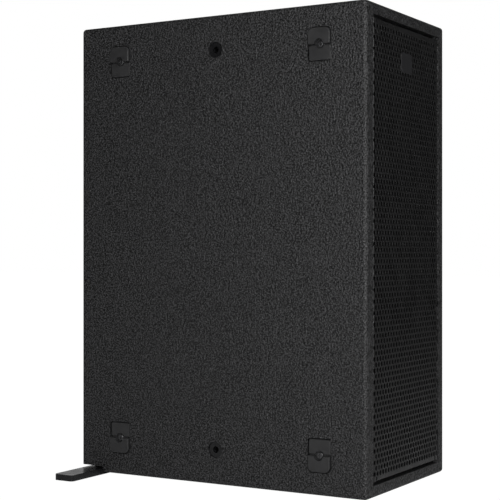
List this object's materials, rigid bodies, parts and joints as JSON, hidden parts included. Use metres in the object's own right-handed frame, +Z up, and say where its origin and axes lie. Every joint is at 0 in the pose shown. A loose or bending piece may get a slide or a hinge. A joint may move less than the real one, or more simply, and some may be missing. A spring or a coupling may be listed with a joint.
{
  "type": "line array speaker",
  "caption": "Black slim plywood line array speaker standing on end, perforated grille, keyed side feet, threaded rigging points and swing-out flat steel link arms.",
  "frame": {"origin": "middle of the footprint, on the floor", "axes": "+Z up, -Y out of the grille, +X across the narrow width"},
  "size_m": [0.372, 0.428, 0.6025],
  "materials": {
    "cabinet_paint": "birch plywood under a black hard textured coating, matte",
    "plywood": "birch plywood, raw inside",
    "grille_steel": "black powder coat, satin",
    "foam": "open-cell black foam",
    "lining": "grey fibre wadding",
    "moulded_black": "black moulded plastic, satin",
    "badge": "dark grey, satin",
    "black_steel": "black steel, semi-gloss",
    "black_screws": "black zinc plated steel",
    "zinc_steel": "zinc plated steel",
    "cast_basket": "black painted casting",
    "paper_cone": "treated black paper",
    "rubber_edge": "coated cloth half roll",
    "spider_cloth": "impregnated cloth",
    "ferrite": "ceramic ferrite magnet",
    "coil": "copper wire winding",
    "titanium": "thin metal dome",
    "circuit_board": "green laminate",
    "capacitor_film": "yellow wrapped film",
    "cement": "white cement body",
    "gasket": "soft black gasket",
    "base_rubber": "black rubber",
    "lead_sheath": "black sheathed wire",
    "washer_nylon": "black nylon"
  },
  "bodies": {
    "cabinet": {"back_panel": "cabinet_paint", "base_feet": "base_rubber", "bottom_panel": "cabinet_paint", "connector_gasket": "gasket", "connector_plate": "black_steel", "connector_screws": "black_screws", "crossover_board": "circuit_board", "crossover_capacitors": "capacitor_film", "crossover_inductors": "coil", "crossover_resistors": "cement", "crossover_standoffs": "moulded_black", "foot_screws": "black_screws", "front_baffle": "cabinet_paint", "grille_badge": "badge", "grille_foam": "foam", "grille_magnets": "zinc_steel", "grille_posts": "moulded_black", "grille_tray": "grille_steel", "hf_diaphragm": "titanium", "hf_horn": "moulded_black", "hf_magnet": "ferrite", "hf_motor_plates": "zinc_steel", "hf_phase_plug": "moulded_black", "hf_rear_cover": "moulded_black", "hf_screws": "black_screws", "hf_waveguide": "moulded_black", "internal_leads": "lead_sheath", "lining_pads": "lining", "pivot_bolts": "black_screws", "pivot_plates": "zinc_steel", "pivot_washers": "washer_nylon", "port_tubes": "moulded_black", "rigging_inserts": "black_steel", "side_panel_left": "cabinet_paint", "side_panel_right": "cabinet_paint", "speaker_connectors": "moulded_black", "stacking_feet": "moulded_black", "top_panel": "cabinet_paint", "window_braces": "plywood", "woofer_gaskets": "gasket", "woofer_lower_basket": "cast_basket", "woofer_lower_magnet": "ferrite", "woofer_lower_motor_plates": "zinc_steel", "woofer_lower_spider": "spider_cloth", "woofer_lower_surround": "rubber_edge", "woofer_screws": "black_screws", "woofer_upper_basket": "cast_basket", "woofer_upper_magnet": "ferrite", "woofer_upper_motor_plates": "zinc_steel", "woofer_upper_spider": "spider_cloth", "woofer_upper_surround": "rubber_edge"},
    "arm_left": {"link_arm_left": "black_steel"},
    "arm_right": {"link_arm_right": "black_steel"},
    "cone_lower": {"woofer_lower_cone": "paper_cone", "woofer_lower_dust_cap": "paper_cone", "woofer_lower_voice_coil": "coil"},
    "cone_upper": {"woofer_upper_cone": "paper_cone", "woofer_upper_dust_cap": "paper_cone", "woofer_upper_voice_coil": "coil"}
  },
  "joints": [
    {"name": "arm_left_swing", "type": "hinge", "parent": "cabinet", "child": "arm_left", "pos_m": [-0.096, 0.1935, 0.0025], "axis": [0, 0, 1], "range_deg": [-180, 0]},
    {"name": "arm_right_swing", "type": "hinge", "parent": "cabinet", "child": "arm_right", "pos_m": [0.096, 0.1935, 0.0025], "axis": [0, 0, 1], "range_deg": [0, 180]},
    {"name": "cone_lower_stroke", "type": "slide", "parent": "cabinet", "child": "cone_lower", "axis": [0, -1, 0], "range_m": [-0.005, 0.005], "stiffness_N_per_m": 2500, "deforming": ["woofer_lower_surround", "woofer_lower_spider"]},
    {"name": "cone_upper_stroke", "type": "slide", "parent": "cabinet", "child": "cone_upper", "axis": [0, -1, 0], "range_m": [-0.005, 0.005], "stiffness_N_per_m": 2500, "deforming": ["woofer_upper_surround", "woofer_upper_spider"]}
  ]
}
